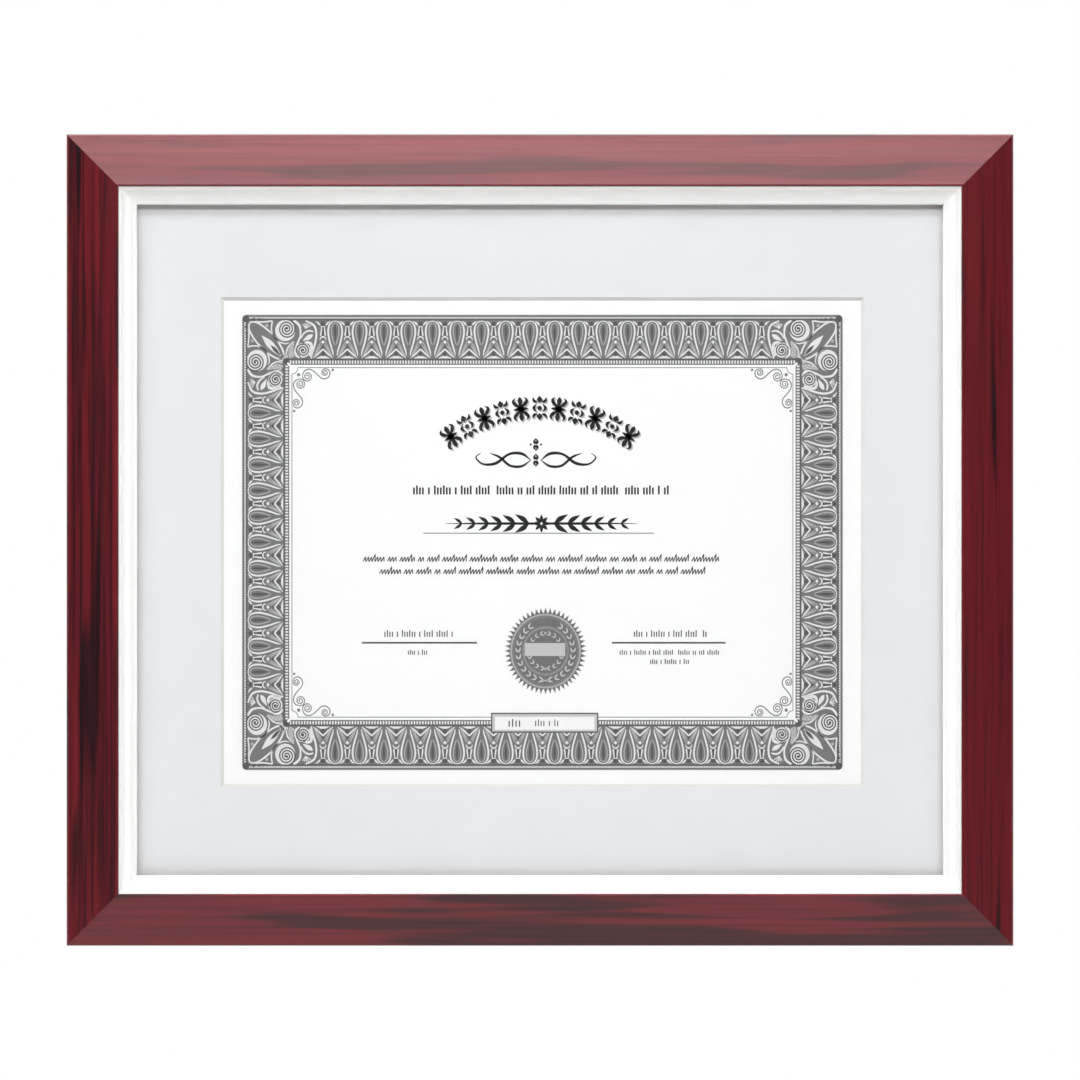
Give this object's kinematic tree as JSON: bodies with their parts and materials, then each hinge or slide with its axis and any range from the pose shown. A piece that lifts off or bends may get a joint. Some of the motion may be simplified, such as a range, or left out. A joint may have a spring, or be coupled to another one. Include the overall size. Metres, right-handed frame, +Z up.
{
  "type": "certificate frame",
  "caption": "Landscape wall frame for a letter-size certificate: burgundy woodgrain moulding, silver slip, bevelled mat and glass, with a back panel held by turn buttons.",
  "frame": {"origin": "on the wall, where the wall nail meets the centre notch of the hanger on the top rail", "axes": "+Z up, +X to the right as seen from the front, +Y from the front into the wall"},
  "size_m": [0.3918, 0.0258, 0.3358],
  "materials": {
    "burgundy_woodgrain": "printed woodgrain foil, satin",
    "silver_foil": "silver foil over wood, satin",
    "clear_glass": "polished float glass",
    "mat_board": "smooth matt surface paper, white core",
    "certificate_paper": "smooth heavy paper, printed in greys and black",
    "linen_tape": "matt gummed tape",
    "grey_cardboard": "plain cardboard",
    "hardboard": "smooth-faced hardboard",
    "zinc_steel": "bright zinc plate",
    "zinc_screws": "bright zinc plate",
    "brassed_steel": "brass-plated spring steel",
    "brassed_nails": "brass-plated steel",
    "nail_steel": "bare steel",
    "bumper_rubber": "soft matt rubber"
  },
  "bodies": {
    "root": {"back_panel": "hardboard", "bottom_left_bumper": "bumper_rubber", "bottom_rail": "burgundy_woodgrain", "bottom_right_bumper": "bumper_rubber", "bottom_slip": "silver_foil", "certificate_sheet": "certificate_paper", "corner_v_nails": "nail_steel", "filler_board": "grey_cardboard", "glass_pane": "clear_glass", "hanger_nails": "brassed_nails", "hinge_tapes": "linen_tape", "landscape_hanger": "brassed_steel", "left_rail": "burgundy_woodgrain", "left_slip": "silver_foil", "mat_board": "mat_board", "portrait_hanger": "brassed_steel", "right_rail": "burgundy_woodgrain", "right_slip": "silver_foil", "top_left_bumper": "bumper_rubber", "top_rail": "burgundy_woodgrain", "top_right_bumper": "bumper_rubber", "top_slip": "silver_foil", "turn_button_screws": "zinc_screws"},
    "top_left_turn_button": {"top_left_turn_button": "zinc_steel"},
    "top_right_turn_button": {"top_right_turn_button": "zinc_steel"},
    "bottom_left_turn_button": {"bottom_left_turn_button": "zinc_steel"},
    "bottom_right_turn_button": {"bottom_right_turn_button": "zinc_steel"},
    "left_lower_turn_button": {"left_lower_turn_button": "zinc_steel"},
    "left_upper_turn_button": {"left_upper_turn_button": "zinc_steel"},
    "right_lower_turn_button": {"right_lower_turn_button": "zinc_steel"},
    "right_upper_turn_button": {"right_upper_turn_button": "zinc_steel"}
  },
  "joints": [
    {"name": "top_left_button_turn", "type": "hinge", "parent": "root", "child": "top_left_turn_button", "pos_m": [-0.09795, -0.004, -0.0003], "axis": [0, 1, 0], "continuous": true},
    {"name": "top_right_button_turn", "type": "hinge", "parent": "root", "child": "top_right_turn_button", "pos_m": [0.09795, -0.004, -0.0003], "axis": [0, 1, 0], "continuous": true},
    {"name": "bottom_left_button_turn", "type": "hinge", "parent": "root", "child": "bottom_left_turn_button", "pos_m": [-0.09795, -0.004, -0.3051], "axis": [0, 1, 0], "continuous": true},
    {"name": "bottom_right_button_turn", "type": "hinge", "parent": "root", "child": "bottom_right_turn_button", "pos_m": [0.09795, -0.004, -0.3051], "axis": [0, 1, 0], "continuous": true},
    {"name": "left_lower_button_turn", "type": "hinge", "parent": "root", "child": "left_lower_turn_button", "pos_m": [-0.1804, -0.004, -0.23665], "axis": [0, 1, 0], "continuous": true},
    {"name": "left_upper_button_turn", "type": "hinge", "parent": "root", "child": "left_upper_turn_button", "pos_m": [-0.1804, -0.004, -0.06875], "axis": [0, 1, 0], "continuous": true},
    {"name": "right_lower_button_turn", "type": "hinge", "parent": "root", "child": "right_lower_turn_button", "pos_m": [0.1804, -0.004, -0.23665], "axis": [0, 1, 0], "continuous": true},
    {"name": "right_upper_button_turn", "type": "hinge", "parent": "root", "child": "right_upper_turn_button", "pos_m": [0.1804, -0.004, -0.06875], "axis": [0, 1, 0], "continuous": true}
  ]
}
